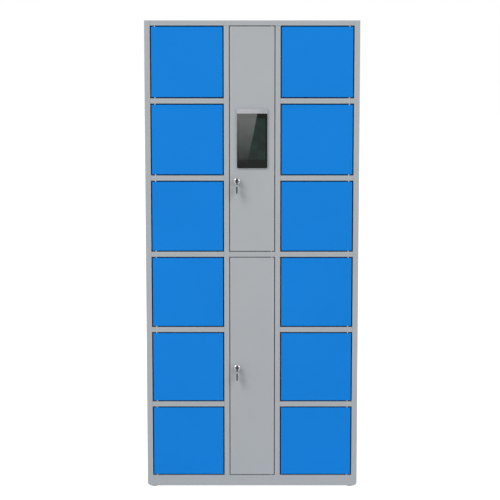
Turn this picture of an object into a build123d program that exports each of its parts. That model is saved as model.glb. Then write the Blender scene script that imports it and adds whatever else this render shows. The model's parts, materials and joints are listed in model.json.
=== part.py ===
from build123d import *
import os

os.makedirs("parts", exist_ok=True)

# A folded steel locker cabinet with two columns of small doors and a service column between them.
# Sizes are in millimetres. X runs to the right, Y into the cabinet and Z up.
# The origin is on the floor, under the middle of the cabinet.

# Carcass
depth = 450.0
sheet = 1.0
bend = 0.5  # inner radius of every fold
rows = 6
opening_w = 294.0  # clear width of a locker opening
opening_h = 288.0
centre_opening_w = 185.0
outer_stile = 22.5
mullion = 21.0
rail_h = 21.0
top_rail = 20.5
base_rail = 43.5
lip = 15.0  # return behind each stile, mullion and rail
base_return = 30.0  # flange under the plinth
base_corner = 13.0  # rounded lower corners of the carcass
weld_flange = 12.0
rear_flange = 15.0

# Holes for fixing the cabinet
bolt_hole_r = 4.5
floor_bolt_span = 600.0
floor_bolt_inset = 15.0
wall_bolt_span = 540.0
wall_bolt_rise = 1500.0
link_bolt_span = 300.0
link_bolt_rise = 1300.0
link_hole_r = 3.5

# Feet
foot_show = 3.0
foot_r = 15.0
foot_edge = 1.2
foot_from_side = 28.0
foot_from_front = 16.0
foot_stem_r = 3.0
foot_stem_l = 14.0
foot_nut_w = 10.0  # across its flats
foot_nut_t = 5.0

# Doors and their hinge pins
locker_gap = 4.5  # round each small door
service_gap = 3.0  # round each service door
door_t = 20.0
door_return = 14.0
pin_r = 3.0
pin_head_r = 4.5
pin_head_t = 1.5
pin_reach = 5.0  # how far a pin stands inside the door
pin_from_front = 8.0
pin_from_edge = 14.0
centre_pin_from_edge = 12.0
running = 0.05  # clearance round a pin or plug that turns
stiffener_w = 48.0
stiffener_top_w = 20.0
stiffener_flange = 10.0
stiffener_h = 12.0
stiffener_short = 15.0  # how far it stops from the door's folds

# Electric locks of the small doors
catch_height = 172.0  # above the lower edge of the opening
housing_w = 13.0
housing_d = 42.0
housing_h = 64.0
housing_below_catch = 8.0
housing_from_door = 1.5
housing_edge = 1.0
plug_w = 8.0
plug_d = 16.0
plug_h = 6.0
bolt_r = 4.0
bolt_wall = 1.5
bolt_l = 30.0
bolt_play = 0.15
bolt_bevel = 5.0
catch_play = 1.5
catch_pin_r = 2.5
catch_pin_from_wall = 2.5
catch_t = 2.0
catch_l = 23.0
catch_below = 6.0
catch_above = 10.0
catch_corner = 4.0
lock_screw_r = 3.2
lock_screw_t = 1.8
lock_screw_back = 30.0  # from the housing's front to its screws
lock_screw_inset = 8.0
slot_l = 20.0
slot_w = 4.0
slot_pitch = 8.0
slot_deep = 0.8
wire_hole_r = 7.0

# Key locks of the service doors
lock_from_edge = 28.2
upper_lock_up = 283.0  # above the lower edge of its door
lower_lock_up = 446.0
lock_face_r = 12.5
lock_face_t = 3.0
lock_face_bevel = 1.8
barrel_r = 9.5
barrel_flats = 16.0
barrel_past_door = 0.5
cylinder_r = 7.0
cylinder_sunk = 0.8
keyway_w = 2.3
keyway_h = 8.2
keyway_end = 1.0
lock_nut_w = 24.0
lock_nut_t = 4.0
stub_w = 7.0
cam_t = 2.5
cam_w = 14.0
cam_reach = 39.0
cam_screw_r = 5.0
cam_screw_t = 2.0
cam_screw_edge = 0.6

# Keys
bow_w = 26.0
bow_l = 27.0
bow_t = 5.0
bow_corner = 8.0
bow_edge = 1.2
bow_hole_r = 2.5
bow_hole_from_end = 5.0
blade_l = 24.0
blade_w = 7.6
blade_t = 2.0
blade_corner = 1.9
first_cut = 6.2  # from the shoulder
cut_pitch = 4.8
cut_depths = (1.6, 0.8, 1.6, 0.8)
key_shows = 2.0
ring_r = 11.15
ring_wire_r = 0.8  # to the corners of the flat-sided wire
ring_wire_sides = 8
ring_play = 0.35

# Screen
screen_up = 333.5  # above the lower edge of the upper service door
bezel_w = 126.0
bezel_h = 240.0
bezel_t = 6.0
bezel_corner = 8.0
bezel_edge = 1.0
bezel_rim = 1.8
band_h = 19.0
glass_t = 3.0
glass_play = 0.15
window_w = 110.0
window_h = 194.0
window_up = 14.0
module_play = 0.5
module_w = 118.0
module_h = 206.0
module_t = 26.0
module_corner = 4.0
module_edge = 2.0
vent_slots = 9
vent_pitch = 9.0
vent_w = 60.0
vent_h = 3.0
vent_deep = 2.0

# Electrics in the service column
board_w = 150.0
board_h = 190.0
board_t = 1.6
board_z = 1420.0
standoff_r = 3.0
standoff_l = 8.0
standoff_inset = 8.0
relay_w = 15.0
relay_d = 15.5
relay_h = 19.0
relay_pitch = 27.0
relay_rows = 6
chip_w = 24.0
chip_t = 3.0
terminal_w = 110.0
terminal_h = 12.0
terminal_d = 11.0
terminal_inset = 0.5
supply_w = 98.0
supply_h = 159.0
supply_d = 40.0
supply_z = 300.0
supply_round = 1.5
supply_slots = 10
supply_slot_pitch = 9.0
supply_slot_w = 60.0
supply_slot_h = 3.5
supply_slot_deep = 1.5
supply_ledge = 18.0
supply_ledge_d = 18.0
grommet_x = 70.0
grommet_z = 110.0
grommet_r = 14.0
grommet_hole_r = 10.0
grommet_bore_r = 4.5
grommet_inside = 2.0

# Worked out from the sizes above
fold = sheet + bend  # outer radius of every fold
front = -depth / 2
back = depth / 2
inner_back = back - 2 * sheet
half_centre = centre_opening_w / 2
partition_x = half_centre + mullion
opening_outer = partition_x + opening_w
half_width = opening_outer + outer_stile
inner_side = half_width - sheet
base_top = foot_show + base_rail
pitch = opening_h + rail_h
top_rail_bottom = base_top + rows * opening_h + (rows - 1) * rail_h
height = top_rail_bottom + top_rail
under_top = height - sheet
centre_rail_bottom = base_top + (rows // 2) * pitch - rail_h
centre_rail_top = centre_rail_bottom + rail_h

door_back = front + door_t
pin_y = front + pin_from_front
pin_x = opening_outer - locker_gap - pin_from_edge
centre_pin_x = half_centre - service_gap - centre_pin_from_edge

housing_front = door_back + housing_from_door
bolt_x = partition_x + housing_w / 2
bolt_y = housing_front + bolt_wall + bolt_r
catch_pin_y = bolt_y + bolt_r + catch_play + catch_pin_r
bolt_top = catch_height - catch_pin_r - catch_play
housing_top = catch_height - housing_below_catch

lock_x = -half_centre + service_gap + lock_from_edge
upper_door_bottom = centre_rail_top + service_gap
lower_door_bottom = base_top + service_gap
upper_lock_z = upper_door_bottom + upper_lock_up
lower_lock_z = lower_door_bottom + lower_lock_up
barrel_l = door_t + barrel_past_door
shoulder = lock_face_t + key_shows
bow_hole = bow_l - bow_hole_from_end
hang = bow_hole_r - ring_wire_r - ring_play

screen_bottom = upper_door_bottom + screen_up
glass_w = bezel_w - 2 * bezel_rim
glass_h = bezel_h - band_h - bezel_rim
window_z = screen_bottom + window_up + window_h / 2

lowest = (Align.CENTER, Align.CENTER, Align.MIN)
highest = (Align.CENTER, Align.CENTER, Align.MAX)
corner = (Align.MIN, Align.MIN, Align.MIN)


def block(x, y, z, mode=Mode.ADD):
    # A plain block between two values on each axis
    with Locations((x[0], y[0], z[0])):
        Box(x[1] - x[0], y[1] - y[0], z[1] - z[0], align=corner, mode=mode)


def keep(name, *pieces):
    # Pieces that only touch stay separate solids of one node
    for piece in pieces:
        piece.part.label = name
    if len(pieces) == 1:
        export_step(pieces[0].part, f"parts/{name}.step")
    else:
        group = Compound(label=name, children=[piece.part for piece in pieces])
        export_step(group, f"parts/{name}.step")


def raised(piece, lift):
    with BuildPart() as copy:
        with Locations((0, 0, lift)):
            add(piece.part)
    return copy


def mirrored(piece):
    with BuildPart() as copy:
        mirror(piece.part, about=Plane.YZ)
    return copy


# Carcass


def make_side_panel():
    # The right side: a pan on edge whose front return is the outer stile
    with BuildPart() as panel:
        with BuildSketch(Plane.XZ.offset(-back)):
            with Locations(((opening_outer + half_width) / 2, (foot_show + under_top) / 2)):
                Rectangle(outer_stile, under_top - foot_show)
        extrude(amount=depth)
        lower_corner = panel.edges().filter_by(Axis.Y).sort_by(Axis.Z)[:2].sort_by(Axis.X)[-1]
        fillet(lower_corner, base_corner)
        for face in (panel.faces().sort_by(Axis.Y)[0], panel.faces().sort_by(Axis.Y)[-1]):
            inside = face.edges().sort_by(Axis.X)[0]
            top = face.edges().sort_by(Axis.Z)[-1]
            fillet([edge for edge in face.edges() if edge not in (inside, top)], fold)
        open_side = panel.faces().sort_by(Axis.X)[0]
        open_top = panel.faces().sort_by(Axis.Z)[-1]
        offset(amount=-sheet, openings=[open_side, open_top])
        stile_fold = (opening_outer, opening_outer + fold)
        block(stile_fold, (front, front + sheet), (base_top, under_top), mode=Mode.SUBTRACT)
        with BuildSketch(Plane.XY.offset(base_top)):
            with BuildLine():
                FilletPolyline(
                    (opening_outer, front + lip),
                    (opening_outer, front),
                    (opening_outer + 2 * fold, front),
                    radius=fold,
                )
                offset(amount=sheet, side=Side.LEFT)
            make_face()
        extrude(amount=under_top - base_top)
        with BuildSketch(Plane.YZ.offset(half_width)):
            with Locations((0, height / 2)):
                with GridLocations(link_bolt_span, link_bolt_rise, 2, 2):
                    Circle(link_hole_r)
        extrude(amount=-2 * sheet, mode=Mode.SUBTRACT)
    return panel


def make_top_panel():
    with BuildPart() as panel:
        with BuildSketch(Plane.YZ):
            with BuildLine():
                FilletPolyline(
                    (front + lip, top_rail_bottom),
                    (front, top_rail_bottom),
                    (front, height),
                    (back, height),
                    (back, top_rail_bottom),
                    radius=fold,
                )
                offset(amount=sheet, side=Side.RIGHT)
            make_face()
        extrude(amount=opening_outer, both=True)
        for edge in (-half_width, opening_outer):
            block((edge, edge + outer_stile), (front, back), (under_top, height))
        for x in (-pin_x, centre_pin_x, pin_x):
            with Locations((x, pin_y, top_rail_bottom)):
                Cylinder(pin_r, 2 * sheet, mode=Mode.SUBTRACT)
    return panel


def make_base_panel():
    with BuildPart() as panel:
        with BuildSketch(Plane.YZ):
            with BuildLine():
                FilletPolyline(
                    (front + base_return, foot_show),
                    (front, foot_show),
                    (front, base_top),
                    (back, base_top),
                    (back, foot_show),
                    (back - base_return, foot_show),
                    radius=fold,
                )
                offset(amount=sheet, side=Side.RIGHT)
            make_face()
        extrude(amount=opening_outer, both=True)
        for edge in (-inner_side, opening_outer):
            width = inner_side - opening_outer
            block((edge, edge + width), (front + lip, inner_back), (base_top - sheet, base_top))
        for edge in (-inner_side, inner_side - sheet):
            flange_z = (base_top - weld_flange, base_top)
            block((edge, edge + sheet), (front + lip, inner_back), flange_z)
        for x in (-pin_x, centre_pin_x, pin_x):
            with Locations((x, pin_y, base_top)):
                Cylinder(pin_r, 2 * sheet, mode=Mode.SUBTRACT)
        with Locations((0, 0, foot_show)):
            with GridLocations(floor_bolt_span, depth - 2 * floor_bolt_inset, 2, 2):
                Cylinder(bolt_hole_r, 2 * sheet, mode=Mode.SUBTRACT)
        with Locations((0, 0, foot_show)):
            foot_span = 2 * (half_width - foot_from_side)
            with GridLocations(foot_span, depth - 2 * foot_from_front, 2, 2):
                Cylinder(foot_stem_r, 2 * sheet, mode=Mode.SUBTRACT)
    return panel


def make_back_panel():
    with BuildPart() as panel:
        half = inner_side - bend
        block((-half, half), (inner_back, back - sheet), (base_top, under_top - bend))
        with BuildSketch(Plane.XZ.offset(-back)):
            with Locations((0, height / 2)):
                with GridLocations(wall_bolt_span, wall_bolt_rise, 2, 2):
                    Circle(bolt_hole_r)
            with Locations((grommet_x, grommet_z)):
                Circle(grommet_hole_r)
        extrude(amount=back - inner_back, mode=Mode.SUBTRACT)
    return panel


def make_partition():
    # The right wall of the service column, whose front return is the mullion
    with BuildPart() as wall:
        with BuildSketch(Plane.XY.offset(base_top)):
            with BuildLine():
                FilletPolyline(
                    (partition_x - rear_flange, inner_back),
                    (partition_x, inner_back),
                    (partition_x, front),
                    (half_centre, front),
                    (half_centre, front + lip),
                    radius=fold,
                )
                offset(amount=sheet, side=Side.RIGHT)
            make_face()
        extrude(amount=under_top - base_top)
        block(
            (half_centre - sheet, partition_x + sheet),
            (front - sheet, front + lip),
            (top_rail_bottom, height),
            mode=Mode.SUBTRACT,
        )
        with BuildSketch(Plane.YZ.offset(partition_x)):
            for row in range(rows):
                middle_z = base_top + row * pitch + housing_top - housing_h / 2
                with Locations((housing_front + housing_d / 2, middle_z)):
                    Circle(wire_hole_r)
        extrude(amount=-2 * sheet, mode=Mode.SUBTRACT)
    return wall


def shelf_profile(plane, rail_bottom):
    # Rail, tray and rear flange, seen from the side
    with BuildSketch(plane) as profile:
        with BuildLine():
            FilletPolyline(
                (front + lip, rail_bottom),
                (front, rail_bottom),
                (front, rail_bottom + rail_h),
                (inner_back, rail_bottom + rail_h),
                (inner_back, rail_bottom + rail_h - weld_flange),
                radius=fold,
            )
            offset(amount=sheet, side=Side.RIGHT)
        make_face()
    return profile.sketch


def make_shelf(rail_bottom):
    # A shelf of the right column: its front fold is the rail between two doors
    top = rail_bottom + rail_h
    with BuildPart() as shelf:
        extrude(shelf_profile(Plane.YZ.offset(partition_x), rail_bottom), amount=opening_w)
        block((opening_outer, inner_side), (front + lip, inner_back), (top - sheet, top))
        block((inner_side - sheet, inner_side), (front + lip, inner_back), (top - weld_flange, top))
        block((partition_x, partition_x + sheet), (front + lip, inner_back), (top - weld_flange, top))
        with Locations((pin_x, pin_y, rail_bottom)):
            Cylinder(pin_r, rail_h, align=lowest, mode=Mode.SUBTRACT)
    return shelf


def make_centre_shelf():
    inside = partition_x - sheet
    top = centre_rail_top
    with BuildPart() as shelf:
        extrude(shelf_profile(Plane.YZ, centre_rail_bottom), amount=half_centre, both=True)
        for x in ((-inside, -half_centre), (half_centre, inside)):
            block(x, (front + lip, inner_back), (top - sheet, top))
        for x in ((-inside, sheet - inside), (inside - sheet, inside)):
            block(x, (front + lip, inner_back - rear_flange), (top - weld_flange, top))
        with Locations((centre_pin_x, pin_y, centre_rail_bottom)):
            Cylinder(pin_r, rail_h, align=lowest, mode=Mode.SUBTRACT)
        for x in ((-inside, -inside + rear_flange), (inside - rear_flange, inside)):
            rear = (inner_back - fold, back)
            block(x, rear, (centre_rail_bottom, top), mode=Mode.SUBTRACT)
    return shelf


def make_feet():
    with BuildPart() as feet:
        foot_span = 2 * (half_width - foot_from_side)
        with GridLocations(foot_span, depth - 2 * foot_from_front, 2, 2):
            Cylinder(foot_r, foot_show, align=lowest)
        chamfer(feet.edges().group_by(Axis.Z)[0], foot_edge)
        with GridLocations(foot_span, depth - 2 * foot_from_front, 2, 2):
            Cylinder(foot_stem_r, foot_show + foot_stem_l, align=lowest)
    return feet


def make_foot_nuts():
    with BuildPart() as nuts:
        with BuildSketch(Plane.XY.offset(foot_show + sheet)):
            foot_span = 2 * (half_width - foot_from_side)
            with GridLocations(foot_span, depth - 2 * foot_from_front, 2, 2):
                RegularPolygon(foot_nut_w / 2, 6, major_radius=False)
                Circle(foot_stem_r, mode=Mode.SUBTRACT)
        extrude(amount=foot_nut_t)
    return nuts


def make_hinge_pins():
    # Each door turns on two headed pins, one let into the rail above it and one below
    openings = []
    for row in range(rows):
        bottom = base_top + row * pitch
        openings.append((-pin_x, bottom, bottom + opening_h, locker_gap))
        openings.append((pin_x, bottom, bottom + opening_h, locker_gap))
    openings.append((centre_pin_x, base_top, centre_rail_bottom, service_gap))
    openings.append((centre_pin_x, centre_rail_top, top_rail_bottom, service_gap))
    with BuildPart() as pins:
        for x, bottom, top, gap in openings:
            shank = 2 * sheet + gap + pin_reach
            with Locations((x, pin_y, bottom - sheet)):
                Cylinder(pin_r, shank, align=lowest)
                Cylinder(pin_head_r, pin_head_t, align=highest)
            with Locations((x, pin_y, top + sheet)):
                Cylinder(pin_r, shank, align=highest)
                Cylinder(pin_head_r, pin_head_t, align=lowest)
    return pins


# Doors


def door_shell(left, right, bottom, top, pin_at):
    # A pan of folded sheet, open at the back, with a return down both upright sides
    with BuildPart() as shell:
        block((left, right), (front, door_back), (bottom, top))
        fillet(shell.faces().sort_by(Axis.Y)[0].edges(), fold)
        offset(amount=-sheet, openings=shell.faces().sort_by(Axis.Y)[-1])
        for x in ((left + sheet / 2, left + door_return), (right - door_return, right - sheet / 2)):
            block(x, (door_back - sheet, door_back), (bottom + sheet / 2, top - sheet / 2))
        with Locations((pin_at, pin_y, (bottom + top) / 2)):
            Cylinder(pin_r + running, top - bottom, mode=Mode.SUBTRACT)
    return shell


def stiffened(shell, middle, bottom, top):
    # A hat-shaped channel spot-welded up the inside of the door's face
    face = front + sheet
    with BuildPart() as door:
        add(shell.part)
        with BuildSketch(Plane.XY.offset(bottom + stiffener_short)):
            with BuildLine():
                FilletPolyline(
                    (middle - stiffener_w / 2, face),
                    (middle - stiffener_w / 2 + stiffener_flange, face),
                    (middle - stiffener_top_w / 2, face + stiffener_h),
                    (middle + stiffener_top_w / 2, face + stiffener_h),
                    (middle + stiffener_w / 2 - stiffener_flange, face),
                    (middle + stiffener_w / 2, face),
                    radius=fold,
                )
                offset(amount=sheet, side=Side.LEFT)
            make_face()
        extrude(amount=top - bottom - 2 * stiffener_short)
    return door


def make_locker_door():
    # The lowest door of the right column, hinged at its outer edge
    left = partition_x + locker_gap
    right = opening_outer - locker_gap
    bottom = base_top + locker_gap
    top = base_top + opening_h - locker_gap
    shell = door_shell(left, right, bottom, top, pin_x)
    return stiffened(shell, (left + right) / 2, bottom, top)


def make_catch():
    # A plate on the door's return carries a pin, which the lock's bolt holds from in front
    plate_right = partition_x + locker_gap + door_return
    catch_z = base_top + catch_height
    with BuildPart() as plate:
        block(
            (plate_right - catch_t, plate_right),
            (door_back, door_back + catch_l),
            (catch_z - catch_below, catch_z + catch_above),
        )
        rear_corners = plate.edges().filter_by(Axis.X).group_by(Axis.Y)[-1]
        fillet(rear_corners, catch_corner)
        with BuildSketch(Plane.YZ.offset(plate_right)):
            with Locations((catch_pin_y, catch_z)):
                Circle(catch_pin_r)
        extrude(amount=-catch_t, mode=Mode.SUBTRACT)
    with BuildPart() as pin:
        pin_start = partition_x + catch_pin_from_wall
        with BuildSketch(Plane.YZ.offset(pin_start)):
            with Locations((catch_pin_y, catch_z)):
                Circle(catch_pin_r)
        extrude(amount=plate_right - pin_start)
    return plate, pin


def make_lock_housing():
    top = base_top + housing_top
    middle_y = housing_front + housing_d / 2
    with BuildPart() as housing:
        block(
            (partition_x, partition_x + housing_w),
            (housing_front, housing_front + housing_d),
            (top - housing_h, top),
        )
        chamfer(housing.faces().sort_by(Axis.X)[-1].edges(), housing_edge)
        with Locations((bolt_x, middle_y, top - housing_h)):
            Box(plug_w, plug_d, plug_h, align=highest)
        with Locations((bolt_x, bolt_y, top)):
            Cylinder(bolt_r + bolt_play, bolt_l, align=highest, mode=Mode.SUBTRACT)
        with BuildSketch(Plane.YZ.offset(partition_x + housing_w)):
            slot_z = top - housing_h / 2
            with Locations((middle_y + slot_w, slot_z)):
                with GridLocations(0, slot_pitch, 1, 3):
                    Rectangle(slot_l, slot_w)
        extrude(amount=-slot_deep, mode=Mode.SUBTRACT)
    return housing


def make_lock_screws():
    top = base_top + housing_top
    with BuildPart() as screws:
        with BuildSketch(Plane.YZ.offset(partition_x + housing_w)):
            for z in (top - lock_screw_inset, top - housing_h + lock_screw_inset):
                with Locations((housing_front + lock_screw_back, z)):
                    Circle(lock_screw_r)
        extrude(amount=lock_screw_t)
    return screws


def make_latch_bolt():
    # A round bolt with a bevelled nose, drawn down into its housing
    nose_z = base_top + bolt_top
    with BuildPart() as bolt:
        with Locations((bolt_x, bolt_y, nose_z)):
            Cylinder(bolt_r, bolt_l, align=highest)
        with BuildSketch(Plane.YZ.offset(bolt_x)):
            with BuildLine():
                Polyline(
                    (bolt_y - bolt_r, nose_z - bolt_bevel),
                    (bolt_y + bolt_r / 2, nose_z),
                    (bolt_y - bolt_r, nose_z),
                    close=True,
                )
            make_face()
        extrude(amount=2 * bolt_r, both=True, mode=Mode.SUBTRACT)
    return bolt


# Service doors


def lock_plane(z):
    # On the face of a service door, looking straight out of it
    return Plane(origin=(lock_x, front, z), x_dir=(1, 0, 0), z_dir=(0, -1, 0))


def double_flat(play):
    # Outline of the lock's barrel
    Circle(barrel_r + play)
    Rectangle(barrel_flats + 2 * play, 4 * barrel_r, mode=Mode.INTERSECT)


def make_service_door(bottom, top, lock_z):
    left = -half_centre + service_gap
    shell = door_shell(left, -left, bottom, top, centre_pin_x)
    with BuildPart() as door:
        add(shell.part)
        with BuildSketch(lock_plane(lock_z)):
            double_flat(running)
        extrude(amount=-2 * sheet, mode=Mode.SUBTRACT)
    return door


def make_screen_door():
    plain = make_service_door(upper_door_bottom, top_rail_bottom - service_gap, upper_lock_z)
    with BuildPart() as door:
        add(plain.part)
        with BuildSketch(Plane.XZ.offset(-front)):
            with Locations((0, window_z)):
                Rectangle(window_w + 2 * module_play, window_h + 2 * module_play)
        extrude(amount=-2 * sheet, mode=Mode.SUBTRACT)
    return door


def make_screen_bezel():
    with BuildPart() as bezel:
        with BuildSketch(Plane.XZ.offset(-front)) as outline:
            with Locations((0, screen_bottom + bezel_h / 2)):
                Rectangle(bezel_w, bezel_h)
            fillet(outline.vertices(), bezel_corner)
        extrude(amount=bezel_t)
        fillet(bezel.faces().sort_by(Axis.Y)[0].edges(), bezel_edge)
        with BuildSketch(Plane.XZ.offset(bezel_t - front)) as pocket:
            with Locations((0, screen_bottom + bezel_rim + glass_h / 2)):
                Rectangle(glass_w + 2 * glass_play, glass_h + 2 * glass_play)
            fillet(pocket.vertices().group_by(Axis.Y)[0], bezel_corner - bezel_rim + glass_play)
        extrude(amount=-glass_t, mode=Mode.SUBTRACT)
        with BuildSketch(Plane.XZ.offset(bezel_t - front)):
            with Locations((0, window_z)):
                Rectangle(window_w + 2 * module_play, window_h + 2 * module_play)
        extrude(amount=-bezel_t, mode=Mode.SUBTRACT)
    return bezel


def make_screen_glass():
    with BuildPart() as glass:
        with BuildSketch(Plane.XZ.offset(bezel_t - glass_t - front)) as outline:
            with Locations((0, screen_bottom + bezel_rim + glass_h / 2)):
                Rectangle(glass_w, glass_h)
            fillet(outline.vertices().group_by(Axis.Y)[0], bezel_corner - bezel_rim)
        extrude(amount=glass_t)
    return glass


def make_screen_module():
    # The display stands through the door behind the glass, with its electronics behind it
    with BuildPart() as module:
        with BuildSketch(Plane.XZ.offset(-front - sheet)) as case:
            with Locations((0, window_z)):
                Rectangle(module_w, module_h)
            fillet(case.vertices(), module_corner)
        extrude(amount=-module_t)
        chamfer(module.faces().sort_by(Axis.Y)[-1].edges(), module_edge)
        with BuildSketch(Plane.XZ.offset(-front - sheet)):
            with Locations((0, window_z)):
                Rectangle(window_w, window_h)
        extrude(amount=bezel_t - glass_t + sheet)
        with BuildSketch(Plane.XZ.offset(-front - sheet - module_t)):
            with Locations((0, window_z)):
                with GridLocations(0, vent_pitch, 1, vent_slots):
                    Rectangle(vent_w, vent_h)
        extrude(amount=vent_deep, mode=Mode.SUBTRACT)
    return module


def make_lock_barrel(z):
    with BuildPart() as barrel:
        with BuildSketch(lock_plane(z)):
            Circle(lock_face_r)
        extrude(amount=lock_face_t)
        chamfer(barrel.faces().sort_by(Axis.Y)[0].edges(), lock_face_bevel)
        with BuildSketch(lock_plane(z)):
            double_flat(0)
        extrude(amount=-barrel_l)
        with BuildSketch(lock_plane(z).offset(-barrel_l)):
            Circle(cylinder_r + running)
        extrude(amount=barrel_l + lock_face_t, mode=Mode.SUBTRACT)
    return barrel


def make_lock_nut(z):
    with BuildPart() as nut:
        with BuildSketch(lock_plane(z).offset(-sheet)):
            RegularPolygon(lock_nut_w / 2, 6, major_radius=False)
            Circle(barrel_r, mode=Mode.SUBTRACT)
        extrude(amount=-lock_nut_t)
    return nut


def make_lock_cylinder(z):
    # The turning cylinder, with its upright keyway and the square that carries the cam
    with BuildPart() as cylinder:
        with BuildSketch(lock_plane(z).offset(-barrel_l)):
            Circle(cylinder_r)
        extrude(amount=barrel_l + lock_face_t - cylinder_sunk)
        with BuildSketch(lock_plane(z).offset(-barrel_l)):
            Rectangle(stub_w, stub_w)
        extrude(amount=-cam_t)
        with BuildSketch(lock_plane(z).offset(keyway_end - barrel_l)):
            Rectangle(keyway_w, keyway_h)
        extrude(amount=barrel_l + lock_face_t, mode=Mode.SUBTRACT)
    return cylinder


def make_cam(z):
    # The cam hangs down while unlocked and turns towards the mullion to lock
    with BuildPart() as cam:
        with BuildSketch(lock_plane(z).offset(-barrel_l)):
            Circle(cam_w / 2)
            with Locations((0, (cam_w / 2 - cam_reach) / 2)):
                SlotOverall(cam_reach + cam_w / 2, cam_w, rotation=90)
            Rectangle(stub_w, stub_w, mode=Mode.SUBTRACT)
        extrude(amount=-cam_t)
    with BuildPart() as screw:
        with BuildSketch(lock_plane(z).offset(-barrel_l - cam_t)):
            Circle(cam_screw_r)
        extrude(amount=-cam_screw_t)
        chamfer(screw.faces().sort_by(Axis.Y)[-1].edges(), cam_screw_edge)
    return cam, screw


def make_key(plane):
    # The plane starts at the key's shoulder and points towards its bow
    side = Plane(origin=plane.origin, x_dir=plane.y_dir, z_dir=plane.x_dir)
    with BuildPart() as bow:
        with BuildSketch(side) as outline:
            with Locations((0, bow_l / 2)):
                RectangleRounded(bow_w, bow_l, bow_corner)
        extrude(amount=bow_t / 2, both=True)
        rims = bow.faces().filter_by(Axis.X)
        chamfer(rims.edges(), bow_edge)
        with BuildSketch(side):
            with Locations((0, bow_hole)):
                Circle(bow_hole_r)
        extrude(amount=bow_t, both=True, mode=Mode.SUBTRACT)
    with BuildPart() as blade:
        with BuildSketch(side):
            with Locations((0, -blade_l / 2)):
                Rectangle(blade_w, blade_l)
            for cut, cut_depth in enumerate(cut_depths):
                with Locations((blade_w / 2, -first_cut - cut * cut_pitch)):
                    RegularPolygon(cut_depth, 4, mode=Mode.SUBTRACT)
        extrude(amount=blade_t / 2, both=True)
        tip = blade.edges().filter_by(Axis.X)
        fillet(far_corners(tip, plane), blade_corner)
    return bow, blade


def far_corners(edges, plane):
    # The two corners furthest from the bow
    along = Axis(plane.origin, plane.z_dir)
    return edges.group_by(along)[0]


def key_plane(z):
    return lock_plane(z).offset(shoulder)


def ring_plane(z):
    # The ring rests in the lower edge of the bow's hole and faces forward
    centre_z = z - hang - ring_r
    return Plane(
        origin=(lock_x, front - shoulder - bow_hole, centre_z), x_dir=(1, 0, 0), z_dir=(0, -1, 0)
    )


def spare_plane(z):
    # The spare key hangs from the foot of the ring, its bow upwards
    hole = ring_plane(z).origin - Vector(0, 0, ring_r + hang)
    return Plane(origin=hole - Vector(0, 0, bow_hole), x_dir=(1, 0, 0), z_dir=(0, 0, 1))


def make_key_ring(z):
    # A flat-sided wire bent into a circle
    centre = ring_plane(z).origin
    with BuildPart() as ring:
        with BuildSketch(Plane(origin=centre, x_dir=(1, 0, 0), z_dir=(0, 0, 1))):
            with Locations((ring_r, 0)):
                RegularPolygon(ring_wire_r, ring_wire_sides)
        revolve(axis=Axis(centre, (0, 1, 0)))
    return ring


# Electrics


def make_controller_board():
    # Lock controller on four spacers, with one relay for each small door
    face = inner_back - standoff_l
    with BuildPart() as board:
        with BuildSketch(Plane.XZ.offset(-face)):
            with Locations((0, board_z)):
                RectangleRounded(board_w, board_h, standoff_r)
        extrude(amount=board_t)
        with BuildSketch(Plane.XZ.offset(-inner_back)):
            with Locations((0, board_z)):
                spacer_w = board_w - 2 * standoff_inset
                with GridLocations(spacer_w, board_h - 2 * standoff_inset, 2, 2):
                    Circle(standoff_r)
        extrude(amount=standoff_l)
        with BuildSketch(Plane.XZ.offset(board_t - face)):
            with Locations((0, board_z)):
                with GridLocations(2 * relay_pitch, relay_pitch, 2, relay_rows):
                    Rectangle(relay_h, relay_w)
        extrude(amount=relay_d)
        with BuildSketch(Plane.XZ.offset(board_t - face)):
            with Locations((0, board_z)):
                with GridLocations(0, 2 * relay_pitch, 1, 2):
                    Rectangle(chip_w, chip_w)
        extrude(amount=chip_t)
        with BuildSketch(Plane.XZ.offset(board_t - face)):
            with Locations((0, board_z)):
                with GridLocations(0, board_h - terminal_h - 2 * terminal_inset, 1, 2):
                    Rectangle(terminal_w, terminal_h)
        extrude(amount=terminal_d)
    return board


def make_power_supply():
    with BuildPart() as supply:
        left, right = -supply_w / 2, supply_w / 2
        bottom, top = supply_z, supply_z + supply_h
        block((left, right), (inner_back - supply_d, inner_back), (bottom, top))
        fillet(supply.edges().filter_by(Axis.Z), supply_round)
        ledge = inner_back - supply_d + supply_ledge_d
        block((left, right), (inner_back - supply_d, ledge), (bottom, bottom + supply_ledge), Mode.SUBTRACT)
        with BuildSketch(Plane.XZ.offset(supply_d - inner_back)):
            with Locations((0, (bottom + supply_ledge + top) / 2)):
                with GridLocations(0, supply_slot_pitch, 1, supply_slots):
                    Rectangle(supply_slot_w, supply_slot_h)
        extrude(amount=-supply_slot_deep, mode=Mode.SUBTRACT)
    return supply


def make_cable_grommet():
    with BuildPart() as grommet:
        with BuildSketch(Plane.XZ.offset(-back)):
            with Locations((grommet_x, grommet_z)):
                Circle(grommet_r)
        extrude(amount=sheet)
        with BuildSketch(Plane.XZ.offset(-inner_back)):
            with Locations((grommet_x, grommet_z)):
                Circle(grommet_r)
        extrude(amount=grommet_inside)
        with BuildSketch(Plane.XZ.offset(-back)):
            with Locations((grommet_x, grommet_z)):
                Circle(grommet_hole_r)
        extrude(amount=2 * sheet + grommet_inside)
        with BuildSketch(Plane.XZ.offset(-back)):
            with Locations((grommet_x, grommet_z)):
                Circle(grommet_bore_r)
        extrude(amount=2 * sheet + grommet_inside, mode=Mode.SUBTRACT)
    return grommet


# The assembly

side_panel = make_side_panel()
keep("right_side_panel", side_panel)
keep("left_side_panel", mirrored(side_panel))
keep("top_panel", make_top_panel())
keep("base_panel", make_base_panel())
keep("back_panel", make_back_panel())

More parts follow.
